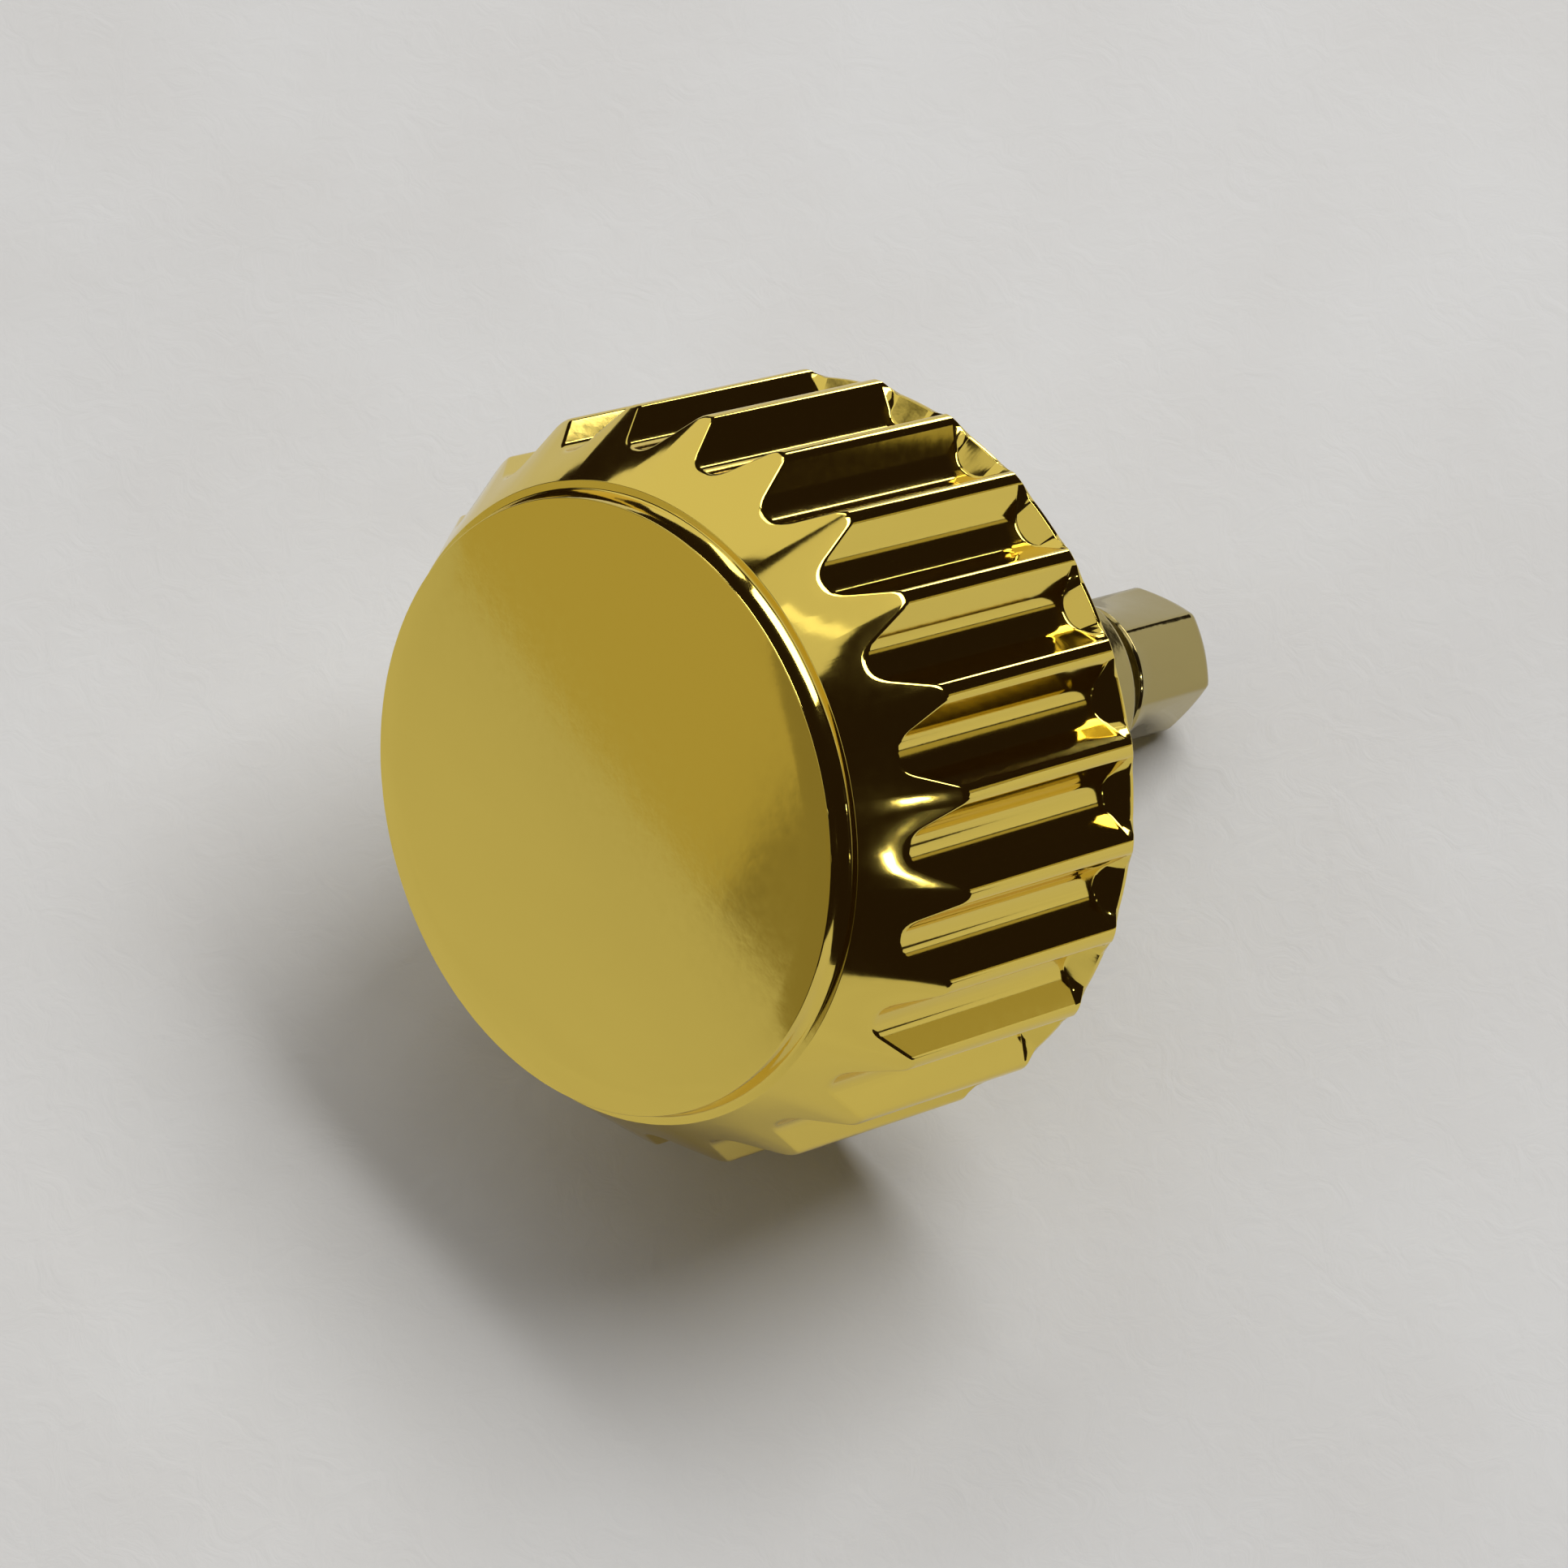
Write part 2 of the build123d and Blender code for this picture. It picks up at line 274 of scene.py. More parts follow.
# %% [markdown]
# The face stands on a low step. In the photograph a bright streak lies along it, with a dark line towards the
# face. A plain square step would mirror only the low part of the room, which is dark. So this one has a
# narrow level foot and a wall that leans in, by less towards the face, and its lean mirrors the window above
# the post.

# %% The step round the face
STEP_FOOT_RADIUS, STEP_FOOT_EDGE = 2.87, 0.03
STEP_BEND_RADIUS, STEP_BEND, STEP_BEND_EDGE = 2.835, -3.27, 0.3
FACE_RADIUS, FACE_DOME = 2.825, 0.04
FACE_RINGS = 10
step_corners = [
    (SHOULDER_END_RADIUS, SHOULDER_END, CRISP_EDGE),
    (STEP_FOOT_RADIUS, SHOULDER_END, STEP_FOOT_EDGE),
    (STEP_BEND_RADIUS, STEP_BEND, STEP_BEND_EDGE),
    (FACE_RADIUS, -HEAD_LENGTH, CRISP_EDGE),
    (0, -HEAD_LENGTH - FACE_DOME, 0),
]


def face_rings(edge_radius):
    """The domed face, as radius and place from near its edge to near its middle."""
    rings = []
    for ring in range(1, FACE_RINGS):
        radius = edge_radius * (1 - ring / FACE_RINGS)
        dome = FACE_DOME * (1 - (radius / edge_radius) ** 2)
        rings.append(Vector((radius, -HEAD_LENGTH - dome)))
    return rings


print("the step is", round(SHOULDER_END + HEAD_LENGTH, 2), "mm high")

# %% The head's section at one radius of the flutes
RECESS_RADIUS, RECESS_DEPTH = 2.5, 0.3
RECESS_CHAMFER, RECESS_EDGE = 0.08, 0.015
SOCKET_RADIUS, SOCKET_DEPTH = 1.9, 2.2
TUBE_RADIUS, PLUG_DEPTH = 0.95, 3.0
GROOVE_END_EDGE = 0.15
back_corners = [
    (TUBE_RADIUS, -PLUG_DEPTH, 0),
    (TUBE_RADIUS, -SOCKET_DEPTH, 0),
    (SOCKET_RADIUS, -SOCKET_DEPTH, 0),
    (SOCKET_RADIUS, -RECESS_DEPTH, FINE_EDGE),
    (RECESS_RADIUS, -RECESS_DEPTH, PLAIN_EDGE),
    (RECESS_RADIUS, -RECESS_CHAMFER, RECESS_EDGE),
    (RECESS_RADIUS + RECESS_CHAMFER, 0, RECESS_EDGE),
]


def head_section(flute_radius):
    """The section through the head where the flutes have this radius, from the tube's seat to the face."""
    groove_end = -CREST_LENGTH - (HEAD_RADIUS - flute_radius) / shoulder_slope
    groove_end_corner = (flute_radius, groove_end, GROOVE_END_EDGE)
    section = rounded([*back_corners, *rim_corners(flute_radius), groove_end_corner, *step_corners])[:-1]
    return section + face_rings(section[-1].x)


print("the head's section has", len(head_section(floor_radius)), "points")

# %% The gold head
gold_head = skin(
    "gold_head",
    [angle for angle, radius in flute_columns],
    [head_section(radius) for angle, radius in flute_columns],
    "head",
    "crown_head",
)

# %% [markdown]
# The other turned pieces sit in the head's back. At the bottom of the socket lies a gasket, on it a washer
# that holds it, and on that the sleeve that screws on the watch's case tube.
# The sleeve's thread is a real groove here. A bump could draw it, but a thread's edge shows in its outline.
# So the screw's radius rises and falls with the place along the axis, and one turn round the axis moves the
# wave on by one pitch.

# %% The stack in the socket
GASKET_THICKNESS, RETAINER_THICKNESS = 0.35, 0.15
gasket_back = -SOCKET_DEPTH + GASKET_THICKNESS
sleeve_front = gasket_back + RETAINER_THICKNESS
sleeve_back = -RECESS_DEPTH
print("the sleeve is", round(sleeve_back - sleeve_front, 2), "mm long")

# %% A thread's wave
THREAD_ROWS_PER_PITCH = 10
THREAD_STEEPNESS = 1.4        # above 1, the wave is cut off to narrow flats at the crest and the root


def thread_wave(turns):
    """Depth share of a thread, over one pitch: 0 on its crest and 1 at its root."""
    wave = abs(2 * (turns % 1) - 1) * THREAD_STEEPNESS - (THREAD_STEEPNESS - 1) / 2
    return min(max(wave, 0), 1)


def thread_rows(start, end, crest, root, pitch, angle):
    """Points of a right-handed inside thread along the bore, fading out over half a pitch at its ends."""
    count = round(abs(end - start) / pitch * THREAD_ROWS_PER_PITCH)
    points = []
    for row in range(count + 1):
        along = start + (end - start) * row / count
        fade = min(1, abs(along - start) / pitch * 2, abs(along - end) / pitch * 2)
        wave = thread_wave(along / pitch + angle / (2 * math.pi))
        points.append((crest + (root - crest) * wave * fade, along))
    return points


# %% The thread sleeve
SLEEVE_CREST, SLEEVE_ROOT, SLEEVE_PITCH = 1.31, 1.5, 0.35
SLEEVE_CHAMFER = 0.06
SLEEVE_SECTIONS = 144
lead_in = SLEEVE_ROOT - SLEEVE_CREST
thread_end = sleeve_back - lead_in
sleeve_edge = rounded([
    (SLEEVE_CREST, thread_end, 0),
    (SLEEVE_ROOT, sleeve_back, FINE_EDGE),
    (SOCKET_RADIUS - SLEEVE_CHAMFER, sleeve_back, FINE_EDGE),
    (SOCKET_RADIUS, sleeve_back - SLEEVE_CHAMFER, FINE_EDGE),
    (SOCKET_RADIUS, sleeve_front, 0),
    (SLEEVE_CREST, sleeve_front, 0),
])


def sleeve_section(angle):
    """The section through the sleeve at one angle: its threaded bore, its back and its outside."""
    thread = thread_rows(sleeve_front, thread_end, SLEEVE_CREST, SLEEVE_ROOT, SLEEVE_PITCH, angle)
    return thread[1:-1] + sleeve_edge


sleeve_angles = angles_round(SLEEVE_SECTIONS)
threaded_sleeve = skin(
    "threaded_sleeve",
    sleeve_angles,
    [sleeve_section(angle) for angle in sleeve_angles],
    "head",
    "thread_sleeve",
    closed=True,
)

# %% [markdown]
# The gasket is a flat rubber ring with soft edges, and its washer a flat steel ring with crisp ones. Both are
# deep in the socket, so a plain turned ring each is enough.

# %% The seal and its washer
GASKET_BORE, GASKET_RADIUS = 1.0, 1.85
RETAINER_BORE = 1.55
pressed_gasket = flat_ring(
    "pressed_gasket",
    GASKET_BORE,
    GASKET_RADIUS,
    -SOCKET_DEPTH,
    gasket_back,
    (SOFT_EDGE, SOFT_EDGE, SOFT_EDGE, SOFT_EDGE),
    "flat_gasket",
)
gasket_ring = flat_ring(
    "gasket_ring",
    RETAINER_BORE,
    SOCKET_RADIUS,
    gasket_back,
    sleeve_front,
    (CRISP_EDGE, CRISP_EDGE, CRISP_EDGE, FINE_EDGE),
    "gasket_retainer",
)

# %% [markdown]
# The post and the bore of the clutch tube are hexagons, so that the head turns the post and the post can
# still slide. A hexagon is a radius that changes with the angle, so the same skin makes it.

# %% Hexagons round the axis
HEXAGON_TURN = math.radians(15.5)
HEXAGON_STEP = math.pi / 3
HEXAGON_CORNER_CUT = 0.0075
HEXAGON_SECTIONS = 144


def hexagon_corner(half_flats):
    """Radius of a hexagon's sharp corners."""
    return half_flats / math.cos(HEXAGON_STEP / 2)


def hexagon_radius(angle, half_flats):
    """Radius of a hexagon at an angle, with its corners blunted."""
    from_flat = (angle - HEXAGON_TURN) % HEXAGON_STEP - HEXAGON_STEP / 2
    return min(half_flats / math.cos(from_flat), hexagon_corner(half_flats) - HEXAGON_CORNER_CUT)


hexagon_angles = angles_round(HEXAGON_SECTIONS, HEXAGON_TURN)
print("hexagons:", HEXAGON_SECTIONS, "sections round the axis")

# %% [markdown]
# The clutch tube is pressed into the head and stands out of its back. Outside it is round, with a groove for
# the O-ring, and inside it is a hexagon. A washer sits in its mouth and keeps the post in. One section goes
# along the outside, into the mouth, and back along the bore to its floor.

# %% The clutch tube
MOUTH, MOUTH_EDGE = 3.0, 0.05
WASHER_RADIUS, WASHER_THICKNESS, WASHER_INSET = 0.82, 0.25, 0.4
BORE_HALF_FLATS, BORE_FLOOR = 0.65, -0.4
SEAL_GROOVE_RADIUS, SEAL_GROOVE_MIDDLE, SEAL_GROOVE_HALF = 0.78, -1.1, 0.2
washer_back = MOUTH - WASHER_INSET
washer_front = washer_back - WASHER_THICKNESS
tube_outside = rounded([
    (0, -PLUG_DEPTH, 0),
    (TUBE_RADIUS, -PLUG_DEPTH, SOFT_EDGE),
    (TUBE_RADIUS, SEAL_GROOVE_MIDDLE - SEAL_GROOVE_HALF, FINE_EDGE),
    (SEAL_GROOVE_RADIUS, SEAL_GROOVE_MIDDLE - SEAL_GROOVE_HALF, FINE_EDGE),
    (SEAL_GROOVE_RADIUS, SEAL_GROOVE_MIDDLE + SEAL_GROOVE_HALF, FINE_EDGE),
    (TUBE_RADIUS, SEAL_GROOVE_MIDDLE + SEAL_GROOVE_HALF, FINE_EDGE),
    (TUBE_RADIUS, MOUTH, MOUTH_EDGE),
    (WASHER_RADIUS, MOUTH, CRISP_EDGE),
    (WASHER_RADIUS, washer_front, 0),
])[1:]


def tube_section(angle):
    """The section through the tube at one angle: its outside and mouth, and the hexagon bore."""
    bore = hexagon_radius(angle, BORE_HALF_FLATS)
    return tube_outside + [Vector((bore, washer_front)), Vector((bore, BORE_FLOOR))]


plated_tube = skin(
    "plated_tube",
    hexagon_angles,
    [tube_section(angle) for angle in hexagon_angles],
    "head",
    "clutch_tube",
)

# %% The washer in the tube's mouth
WASHER_BORE = 0.55
mouth_washer = flat_ring(
    "mouth_washer",
    WASHER_BORE,
    WASHER_RADIUS,
    washer_front,
    washer_back,
    (FINE_EDGE, CRISP_EDGE, FINE_EDGE, PLAIN_EDGE),
    "retaining_washer",
)

# %% [markdown]
# The post is turned first and gets its hexagon flats afterwards, so both ends of the flats are curved where
# they meet a turned cone. Each section ends its flat at the place where the cone has the hexagon's radius,
# and these curves come out by themselves. A hexagon cylinder with bevelled ends would have straight edges
# there. The bore in its end takes the watch's winding stem, with a thread made as in the sleeve.

# %% The post's cones and flats
POST_GAP, HEXAGON_LENGTH = 0.35, 1.2
POST_HALF_FLATS, FLAT_RUN_OUT = 0.625, 0.32
POST_BACK_CHAMFER, POST_END_CHAMFER = 0.03, 0.14
POST_FLAT_END_EDGE, POST_END_EDGE = 0.14, 0.15
post_back = MOUTH + POST_GAP
post_end = post_back + HEXAGON_LENGTH
post_corner = hexagon_corner(POST_HALF_FLATS)
end_slope = (post_corner - POST_HALF_FLATS + POST_END_CHAMFER) / POST_END_CHAMFER
back_slope = (post_corner - POST_HALF_FLATS) / FLAT_RUN_OUT
print("the post is", round(2 * POST_HALF_FLATS, 2), "mm across its flats")

# %% The sprung post
NECK_RADIUS, SHANK_RADIUS = 0.52, 0.3
GUIDE_LENGTH = 0.8
RIVET_RADIUS, RIVET_HEIGHT = 0.42, 0.1
STEM_CREST, STEM_ROOT, STEM_PITCH = 0.345, 0.43, 0.225
STEM_LEAD_IN = 0.09
guide_front = washer_front - GUIDE_LENGTH
rivet_front = guide_front - RIVET_HEIGHT
stem_thread_end = post_end - STEM_LEAD_IN


def post_section(angle):
    """The section through the post at one angle, from its rivet head round to the bottom of its bore."""
    radius = hexagon_radius(angle, POST_HALF_FLATS)
    flat_start = post_back + max((post_corner - radius) / back_slope, POST_BACK_CHAMFER * 2)
    flat_end = post_end - POST_END_CHAMFER + (post_corner - radius) / end_slope
    outline = rounded([
        (0, rivet_front, 0),
        (RIVET_RADIUS, rivet_front, SOFT_EDGE),
        (RIVET_RADIUS, guide_front, 0),
        (SHANK_RADIUS, guide_front, 0),
        (SHANK_RADIUS, washer_front, 0),
        (NECK_RADIUS, washer_front, FINE_EDGE),
        (NECK_RADIUS, post_back, PLAIN_EDGE),
        (post_corner - POST_BACK_CHAMFER, post_back, CRISP_EDGE),
        (post_corner - POST_BACK_CHAMFER * back_slope, post_back + POST_BACK_CHAMFER, CRISP_EDGE),
        (radius, flat_start, 0),
        (radius, flat_end, POST_FLAT_END_EDGE),
        (POST_HALF_FLATS - POST_END_CHAMFER, post_end, POST_END_EDGE),
        (STEM_CREST + STEM_LEAD_IN, post_end, CRISP_EDGE),
        (STEM_CREST, stem_thread_end, 0),
    ])
    thread = thread_rows(stem_thread_end, post_back, STEM_CREST, STEM_ROOT, STEM_PITCH, angle)
    return outline[1:] + thread[1:]


sprung_post = skin(
    "sprung_post",
    hexagon_angles,
    [post_section(angle) for angle in hexagon_angles],
    "post",
    "stem_post",
)

# %% [markdown]
# The return spring is round wire wound in four turns between the bore's floor and the guide block. A curve
# with a round bevel could make it too. A helix of rings is as short to write, and its ends are closed flat.
# Its mesh gets a copy of its own, and the share of its length it keeps with the post pressed in is printed.

# %% The spring's wire
WIRE_RADIUS, COIL_RADIUS, SPRING_TURNS = 0.07, 0.56, 4
COIL_PLAY = 0.01
RINGS_PER_TURN, WIRE_SIDES = 40, 12
coil_start = BORE_FLOOR + WIRE_RADIUS + COIL_PLAY
coil_end = guide_front - WIRE_RADIUS - COIL_PLAY
ring_count = SPRING_TURNS * RINGS_PER_TURN
spring_mesh = bmesh.new()


def wire_ring(mesh, ring):
    """The points round the wire at one of the rings along it."""
    turn_angle = 2 * math.pi * ring / RINGS_PER_TURN
    along = coil_start + (coil_end - coil_start) * ring / ring_count
    points = []
    for side in angles_round(WIRE_SIDES):
        radius = COIL_RADIUS + WIRE_RADIUS * math.cos(side)
        height = along + WIRE_RADIUS * math.sin(side)
        point = place(radius * math.cos(turn_angle), height, radius * math.sin(turn_angle))
        points.append(mesh.verts.new(point))
    return points


wire_rings = [wire_ring(spring_mesh, ring) for ring in range(ring_count + 1)]
print("spring:", len(wire_rings), "rings of", WIRE_SIDES, "points")

# %% The return spring
for first, second in zip(wire_rings, wire_rings[1:]):
    for side in range(WIRE_SIDES):
        after = (side + 1) % WIRE_SIDES
        spring_mesh.faces.new((first[side], first[after], second[after], second[side]))
for wire_end in (wire_rings[0], wire_rings[-1]):
    spring_mesh.faces.new(wire_end)
bmesh.ops.recalc_face_normals(spring_mesh, faces=spring_mesh.faces)
for face in spring_mesh.faces:
    face.smooth = len(face.verts) < WIRE_SIDES
spring_data = bpy.data.meshes.new("wound_spring")
spring_mesh.to_mesh(spring_data)
spring_mesh.free()
wound_spring = bpy.data.objects.new("wound_spring", spring_data)
bpy.context.scene.collection.objects.link(wound_spring)
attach(wound_spring, "head")
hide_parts("return_spring")
print("spring:", len(spring_data.polygons), "faces")

# %% The share of its length that the spring keeps when the post is pressed in
spring_length = (guide_front - BORE_FLOOR) * MM
pressed_share = 1 - POST_SLIDE["range_m"][1] / spring_length
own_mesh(wound_spring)
print("the pressed spring keeps", round(pressed_share, 2), "of its length")

# %% [markdown]
# Shader sums read best as plain sums. This small class wraps one socket, so that Python's own operators add
# the Math nodes, and one method of the finish adds every other node.

# %% Sockets that can be added up
class Value:
    """A socket of a finish. An expression on it adds Math nodes."""

    def __init__(self, finish, socket):
        self.finish = finish
        self.socket = socket

    def worked_out(self, operation, first, second):
        """Adds a Math node. Either side may be a number or a socket."""
        return self.finish.node("Math", {"operation": operation}, {0: first, 1: second})

    def __add__(self, other):
        return self.worked_out("ADD", self, other)

    def __radd__(self, other):
        return self.worked_out("ADD", other, self)

    def __mul__(self, other):
        return self.worked_out("MULTIPLY", self, other)

    def __rmul__(self, other):
        return self.worked_out("MULTIPLY", other, self)


# %% A finish, and the one method that adds its nodes
class Finish:
    """A material being made: one method adds each node, with its settings first and its sockets next."""

    def __init__(self, name, slot=None):
        self.slot = slot
        self.material = bpy.data.materials.new(name)
        self.material.use_nodes = True
        self.tree = self.material.node_tree
        self.tree.nodes.clear()

    def node(self, kind, settings=None, sockets=None, output=0):
        """Adds a node and gives one of its outputs. A ramp's stops are a setting, from left to right."""
        made = self.tree.nodes.new("ShaderNode" + kind)
        for setting, value in (settings or {}).items():
            if setting == "stops":
                for index, (position, colour) in enumerate(value):
                    stops = made.color_ramp.elements
                    stop = stops[index] if index < len(stops) else stops.new(position)
                    stop.position = position
                    stop.color = colour
            else:
                setattr(made, setting, value)
        for socket, value in (sockets or {}).items():
            if isinstance(value, Value):
                self.tree.links.new(value.socket, made.inputs[socket])
            else:
                made.inputs[socket].default_value = value
        return Value(self, made.outputs[output]) if made.outputs else made

    def surface(self, **sockets):
        """Ends the finish with a Principled shader."""
        named = {name.replace("_", " "): value for name, value in sockets.items()}
        shader = self.node("BsdfPrincipled", None, named)
        self.node("OutputMaterial", None, {"Surface": shader})
        return self

    def on(self, *pieces):
        """Puts the finish on pieces, and prints which pieces have it."""
        for piece in pieces:
            piece.data.materials.clear()
            piece.data.materials.append(self.material)
        print(self.material.name, "on", ", ".join(piece.name for piece in pieces))
        return self


# %% Grain and dents
def grain(finish, per_metre, detail, distortion=0):
    """A noise that is fixed to the piece, with about so many spots to a metre."""
    spot = finish.node("TexCoord", output="Object")
    return finish.node(
        "TexNoise", None, {"Vector": spot, "Scale": per_metre, "Detail": detail, "Distortion": distortion}
    )


def dents(finish, height, strength, depth):
    """A bump of the surface, so many millimetres deep at full strength."""
    return finish.node("Bump", None, {"Height": height, "Strength": strength, "Distance": depth * MM})


def metal(finish, colour, specks, smoothest, spread, **more):
    """A metal of one colour, with a roughness that goes up from its smoothest with the specks."""
    return finish.surface(Base_Color=colour, Metallic=1.0, Roughness=smoothest + specks * spread, **more)


# %% [markdown]
# Polished gold plating is a mirror with a colour. Its detail is small: faint waves from the polishing wheel,
# about a millimetre long, and a roughness that changes a little from place to place. An image of scratches
# could do this too, but noise that is fixed to the piece needs no unwrapping and holds from every side.
# The tube and the post have a paler plating with less polish.

# %% Gold plating
GOLD, PALE_GOLD = (0.80, 0.61, 0.12, 1), (0.44, 0.36, 0.14, 1)
WAVE_SHARE, SPECK_SHARE = 0.7, 0.1
DENT_DEPTH = 0.05


def gold_plating():
    finish = Finish("polished gold plating", "gold_plate")
    waves = grain(finish, per_metre=900, detail=3)
    specks = grain(finish, per_metre=9000, detail=2)
    bump = dents(finish, waves * WAVE_SHARE + specks * SPECK_SHARE, strength=0.04, depth=DENT_DEPTH)
    return metal(finish, GOLD, specks, smoothest=0.05, spread=0.05, Normal=bump)


def pale_gold():
    finish = Finish("pale gold plating", "pale_gold")
    specks = grain(finish, per_metre=4000, detail=3)
    bump = dents(finish, specks, strength=0.05, depth=DENT_DEPTH)
    return metal(finish, PALE_GOLD, specks, smoothest=0.06, spread=0.08, Normal=bump)


gold_plating().on(gold_head)
pale_gold().on(plated_tube, sprung_post)

# %% [markdown]
# The sleeve, the washers and the guide block are turned steel, duller than the plating, and the spring is a
# drawn wire with a little more shine. They show only from behind, so a speckled roughness is all they need.
# The guide block is hidden in the tube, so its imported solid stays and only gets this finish.

# %% Steel
STEEL = (0.62, 0.61, 0.58, 1)


def turned_steel(name, slot, smoothest):
    finish = Finish(name, slot)
    specks = grain(finish, per_metre=5000, detail=3)
    return metal(finish, STEEL, specks, smoothest, spread=0.1)


turned_steel("turned steel", "steel", smoothest=0.25).on(
    threaded_sleeve, gasket_ring, mouth_washer, frame["nodes"]["guide_block"]
)
turned_steel("spring wire", "spring_steel", smoothest=0.2).on(wound_spring)

# %% [markdown]
# The two seals are black rubber. Its fine grain shows as uneven gloss, so the grain goes into the roughness.
# The O-ring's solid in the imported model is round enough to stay, and only gets this finish.

# %% Rubber
SMOOTHEST_RUBBER, RUBBER_SPREAD = 0.5, 0.3


def seal_rubber(name, slot, shade):
    finish = Finish(name, slot)
    roughness = SMOOTHEST_RUBBER + grain(finish, per_metre=8000, detail=4) * RUBBER_SPREAD
    return finish.surface(Base_Color=(shade, shade, shade, 1), Roughness=roughness)


seal_rubber("gasket rubber", "gasket_rubber", shade=0.05).on(pressed_gasket)
seal_rubber("black rubber", "black_rubber", shade=0.03).on(frame["nodes"]["tube_o_ring"])

# %% [markdown]
# The crown lies on a sheet of pale paper. Polished gold mirrors the sheet and, where it ends, the dim room
# beyond. So the sheet has its own outline and isn't one endless floor: one edge is just outside the picture,
# at its lower right, and another is far in front of the face, which mirrors it. Slow clouds of pulp colour
# and a faint bump of fibres keep the paper from looking flat.

# %% The paper's outline, in millimetres of the frame
PAPER_NEAR_CORNERS = ((40, -32), (24, -9), (12.5, -1), (14, 8), (60, 42))
PAPER_FAR_CORNERS = ((60, 75), (-90, 75), (-90, -69))
floor_height = CAD_BOX[0].z
paper_points = [(x * MM, y * MM, floor_height) for x, y in PAPER_NEAR_CORNERS + PAPER_FAR_CORNERS]
paper_mesh = bpy.data.meshes.new("paper")
paper_mesh.from_pydata(paper_points, [], [tuple(range(len(paper_points)))])
paper = bpy.data.objects.new("paper", paper_mesh)
bpy.context.scene.collection.objects.link(paper)
print("the paper lies at", round(floor_height / MM, 2), "mm")

# %% The paper's finish
DARKER_PULP, LIGHTER_PULP = (0.715, 0.715, 0.715, 1), (0.74, 0.745, 0.75, 1)
PULP_STOPS = ((0.35, DARKER_PULP), (0.65, LIGHTER_PULP))
paper_finish = Finish("pale paper")
pulp = grain(paper_finish, per_metre=350, detail=3)
fibres = grain(paper_finish, per_metre=2600, detail=4, distortion=1.5)
paper_finish.surface(
    Base_Color=paper_finish.node("ValToRGB", {"stops": PULP_STOPS}, {"Fac": pulp}),
    Roughness=1.0,
    Specular_IOR_Level=0.0,
    Normal=dents(paper_finish, fibres, strength=0.12, depth=0.1),
).on(paper)

# %% [markdown]
# A polished crown shows the room more than it shows itself, so the light is a small room. A wide window
# stands above and behind the post, where the paper's soft shadow and the bright edges of the crests point to
# it. Pale walls give the gold its middle tones, the darker part of the face mirrors dim warm ones low down,
# and small lamps make the white spots on the shoulder. A world picture could do all this, but plain lamps say
# where each highlight comes from.

# %% A lamp of the room
LAMP_DISTANCE = 0.25
WATTS_TO_A_SQUARE_METRE = 4        # the power that makes a lamp as bright as a white world of strength 1
WHITE, WARM = (1, 0.99, 0.97), (1, 0.9, 0.5)


def seen_as(degrees):
    """The length, in metres, that looks so many degrees long from the crown."""
    return 2 * LAMP_DISTANCE * math.tan(math.radians(degrees / 2))


def room_lamp(name, azimuth, elevation, wide, tall, brightness, colour=WHITE):
    """A rectangle that faces the crown, in degrees as seen from it. Azimuth 0 is where the post points."""
    level = math.cos(math.radians(elevation))
    towards = Vector((
        math.sin(math.radians(azimuth)) * level,
        math.cos(math.radians(azimuth)) * level,
        math.sin(math.radians(elevation)),
    ))
    lamp_data = bpy.data.lights.new(name, "AREA")
    lamp_data.shape = "RECTANGLE"
    lamp_data.size = seen_as(wide)
    lamp_data.size_y = seen_as(tall)
    lamp_data.energy = WATTS_TO_A_SQUARE_METRE * lamp_data.size * lamp_data.size_y * brightness
    lamp_data.color = colour
    lamp = bpy.data.objects.new(name, lamp_data)
    lamp.location = towards * LAMP_DISTANCE
    lamp.rotation_euler = towards.to_track_quat("Z", "Y").to_euler()
    bpy.context.scene.collection.objects.link(lamp)
    print(name, round(lamp_data.energy, 4), "W")


# %% The window, the walls and the ceiling
room_lamp("key", azimuth=11, elevation=57, wide=40, tall=21, brightness=6.4)
room_lamp("window", azimuth=-38, elevation=44, wide=14, tall=12, brightness=3.0)
room_lamp("left wall", azimuth=-80, elevation=40, wide=55, tall=52, brightness=0.6)
room_lamp("ceiling", azimuth=-5, elevation=72, wide=30, tall=20, brightness=0.55)
room_lamp("skylight", azimuth=90, elevation=84, wide=22, tall=22, brightness=0.55)
room_lamp("back wall", azimuth=-162, elevation=38, wide=40, tall=50, brightness=0.5)

# %% Small lamps, for the white spots
room_lamp("small lamp", azimuth=93, elevation=35, wide=2.4, tall=1.6, brightness=30.0)
room_lamp("smaller lamp", azimuth=98, elevation=21, wide=2, tall=1.6, brightness=20.0)
room_lamp("low lamp", azimuth=-30, elevation=1, wide=10, tall=8, brightness=6.0)

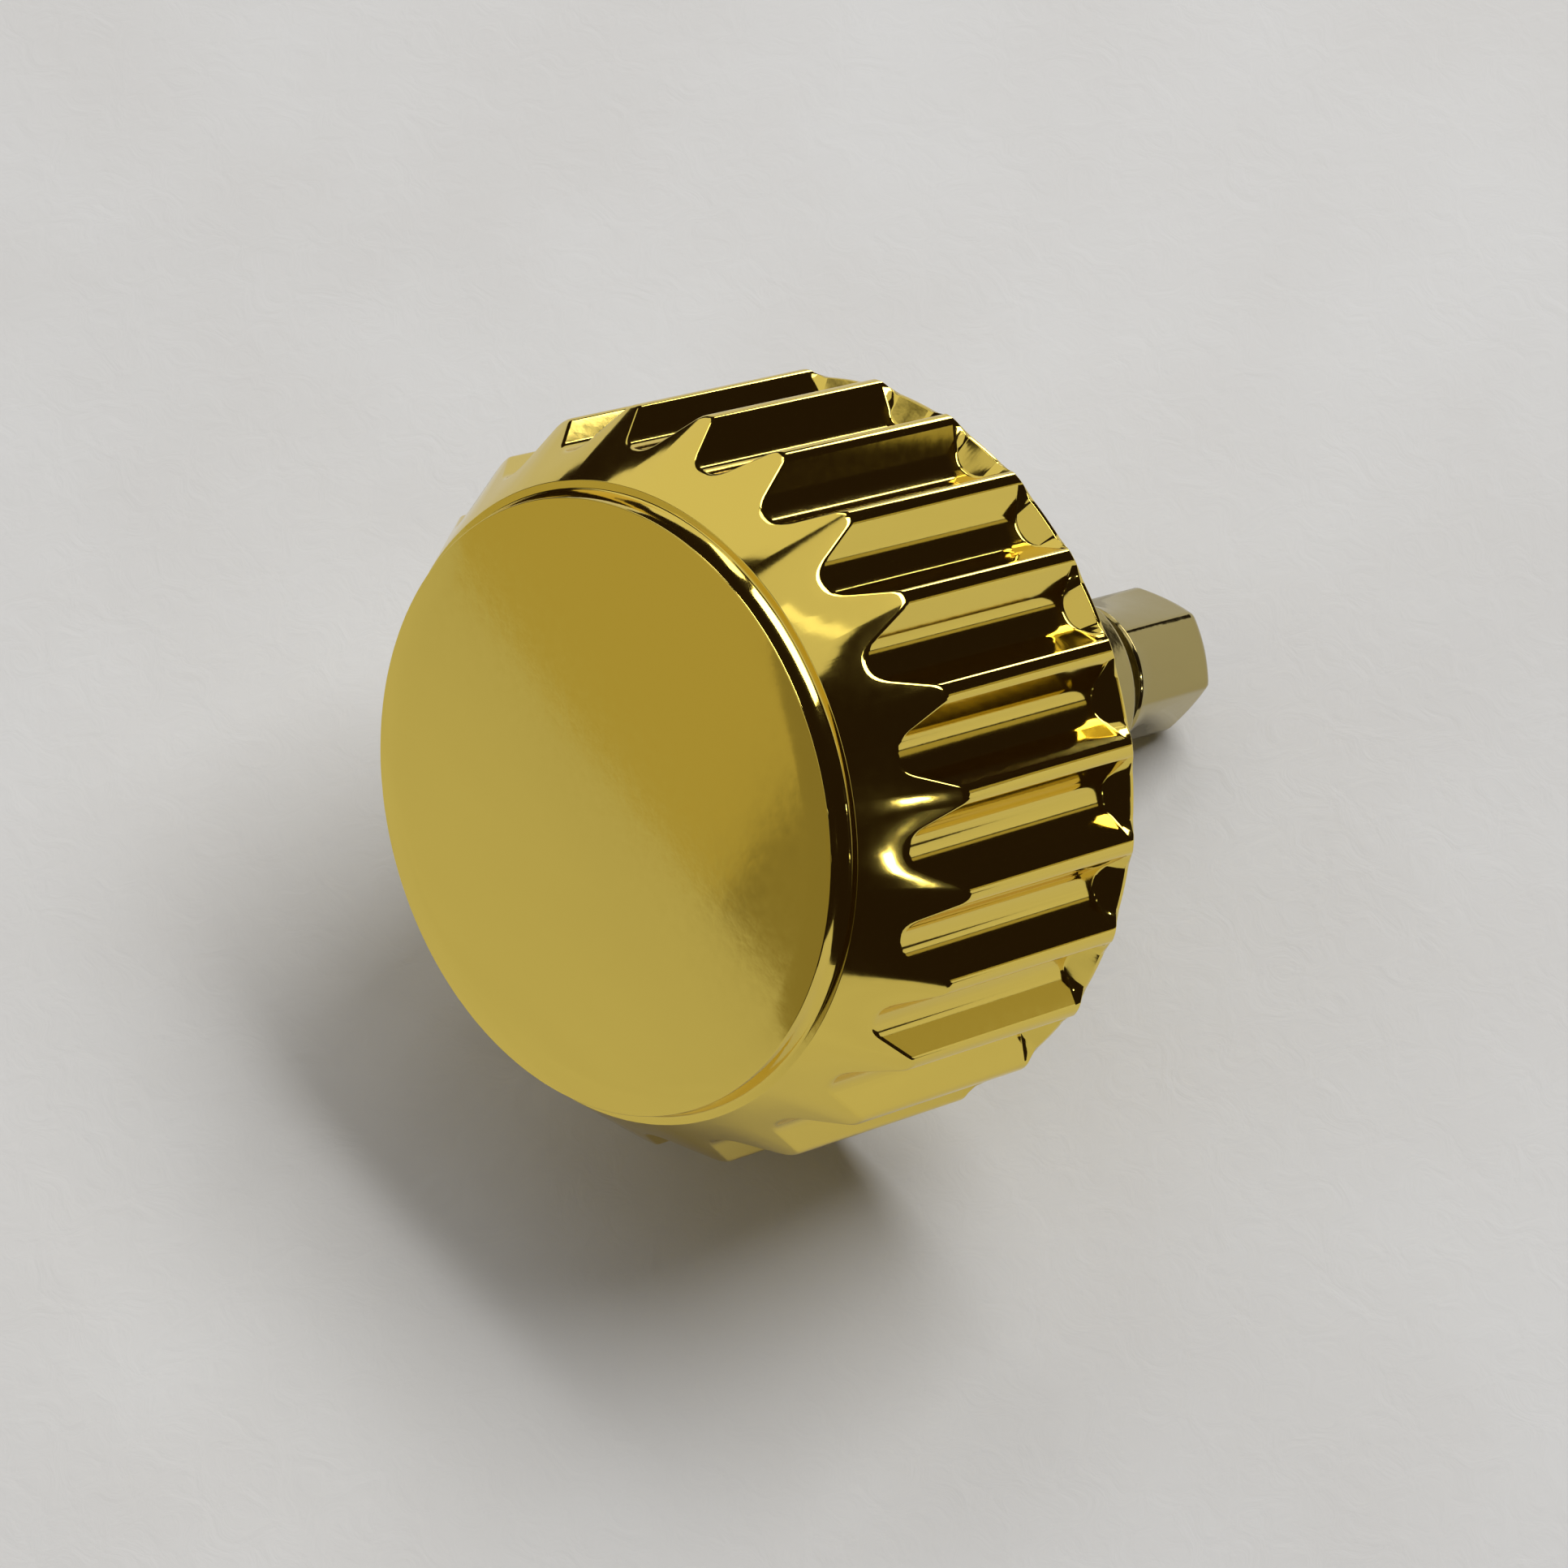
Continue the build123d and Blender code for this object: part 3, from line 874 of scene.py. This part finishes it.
# %% Dim warm walls beyond the paper's edge
room_lamp("low wall", azimuth=-141, elevation=6, wide=29, tall=24, brightness=0.36, colour=WARM)
room_lamp("far wall", azimuth=-163, elevation=6, wide=15, tall=24, brightness=0.2, colour=WARM)
room_lamp("side wall", azimuth=34, elevation=1, wide=14, tall=7, brightness=0.3, colour=WARM)

# %% [markdown]
# What no lamp covers is a dim brown room. It is the dark that the grooves mirror, and it is brown and not
# black because the photograph's grooves are.

# %% The dim room
ROOM_BROWN, ROOM_STRENGTH = (1, 0.62, 0.45, 1), 0.018
world = bpy.data.worlds.new("dim room")
bpy.context.scene.world = world
world.use_nodes = True
world.node_tree.nodes["Background"].inputs["Color"].default_value = ROOM_BROWN
world.node_tree.nodes["Background"].inputs["Strength"].default_value = ROOM_STRENGTH
print(world.name, "at strength", ROOM_STRENGTH)

# %% [markdown]
# The camera stands close above the crown, between its face and its side, with a long lens. Its place was
# worked out from the circles of the face, the shoulder and the rim, because their widths and leans in the
# picture leave only one place for it. Its aim and a small roll put the crown where the photograph has it.

# %% The camera
CAMERA_PLACE = Vector((27.961, -20.379, 51.083)) * MM
CAMERA_AIM = Vector((-0.1586, -0.7157, -0.1875)) * MM
CAMERA_ROLL = math.radians(6.310)
SENSOR_WIDTH, LENS_LENGTH = 36, 151.93
NEAREST_SEEN = MM
camera_data = bpy.data.cameras.new("camera")
camera_data.sensor_width = SENSOR_WIDTH
camera_data.lens = LENS_LENGTH
camera_data.clip_start = NEAREST_SEEN
camera = bpy.data.objects.new("camera", camera_data)
bpy.context.scene.collection.objects.link(camera)
look = (CAMERA_AIM - CAMERA_PLACE).to_track_quat("-Z", "Y").to_matrix()
camera.matrix_world = (
    Matrix.Translation(CAMERA_PLACE) @ (look @ Matrix.Rotation(-CAMERA_ROLL, 3, "Z")).to_4x4()
)
bpy.context.scene.camera = camera
bpy.context.scene.view_settings.view_transform = "Standard"
print("the camera is", round((CAMERA_AIM - CAMERA_PLACE).length / MM, 1), "mm away")
